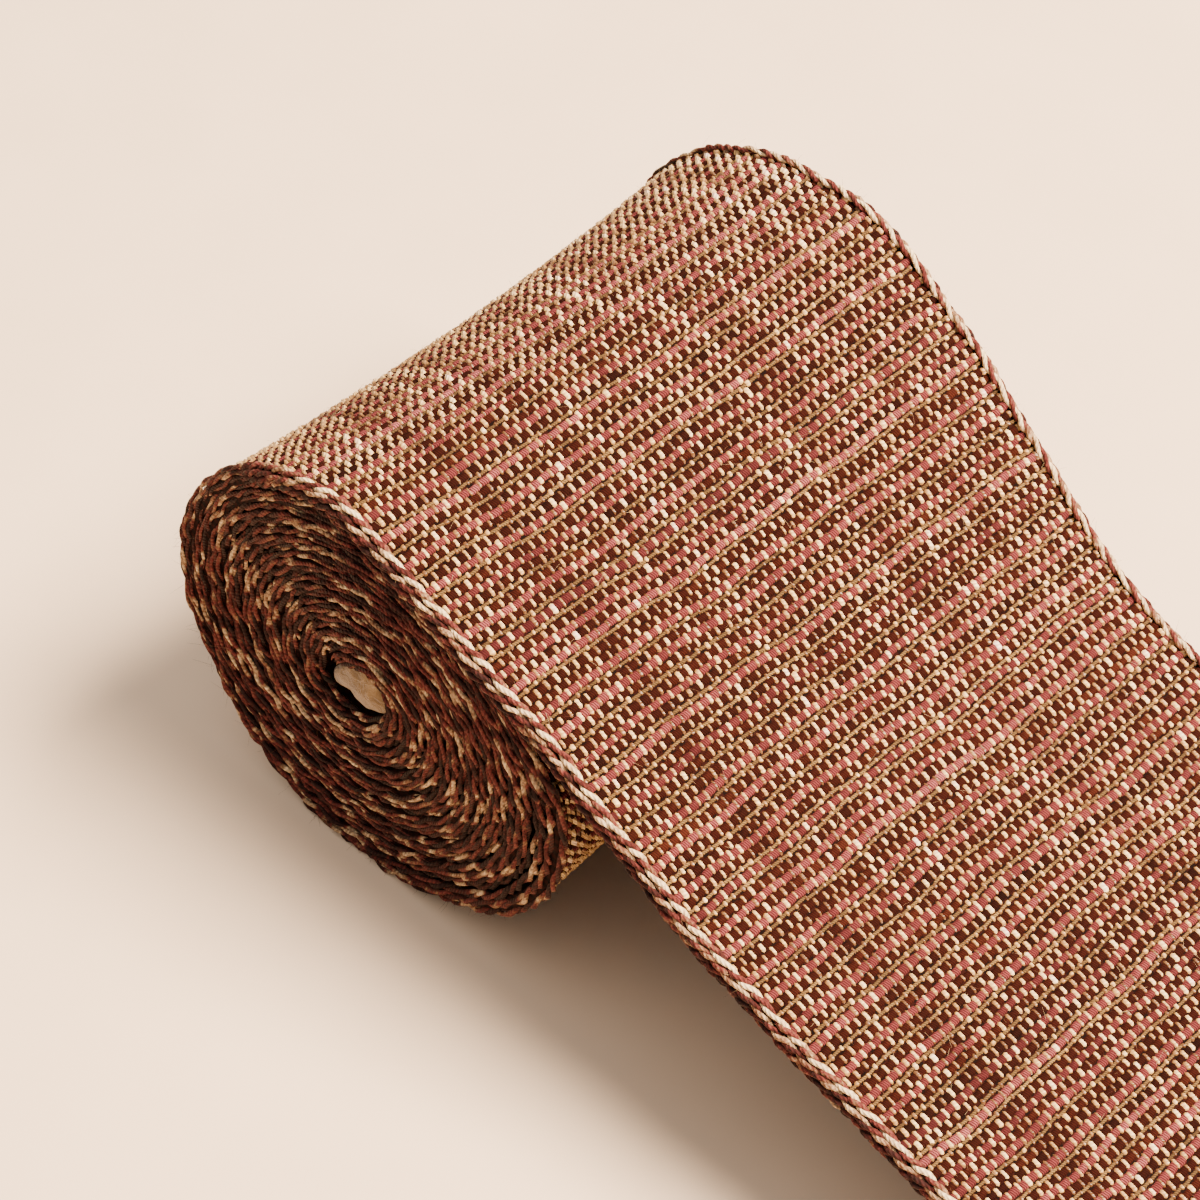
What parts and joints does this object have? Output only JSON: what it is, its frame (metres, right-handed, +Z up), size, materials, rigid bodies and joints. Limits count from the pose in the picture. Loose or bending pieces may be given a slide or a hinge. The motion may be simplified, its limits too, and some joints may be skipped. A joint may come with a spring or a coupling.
{
  "type": "tape trim",
  "caption": "Wide woven tape wound in a roll around a small cotton wad, its loose end running from the top of the roll down to the table.",
  "frame": {"origin": "middle of the footprint, on the table under the roll and the loose end", "axes": "+X along the loose end away from the roll, +Y along the roll's axis, +Z up"},
  "size_m": [0.1536, 0.06, 0.0486],
  "materials": {
    "woven_tape": "plain weave of brown and rose wefts with cream warps, soft and dry",
    "cotton_wad": "loose beige cotton, felted and dull"
  },
  "bodies": {
    "root": {"tape": "woven_tape", "core": "cotton_wad"}
  },
  "joints": []
}
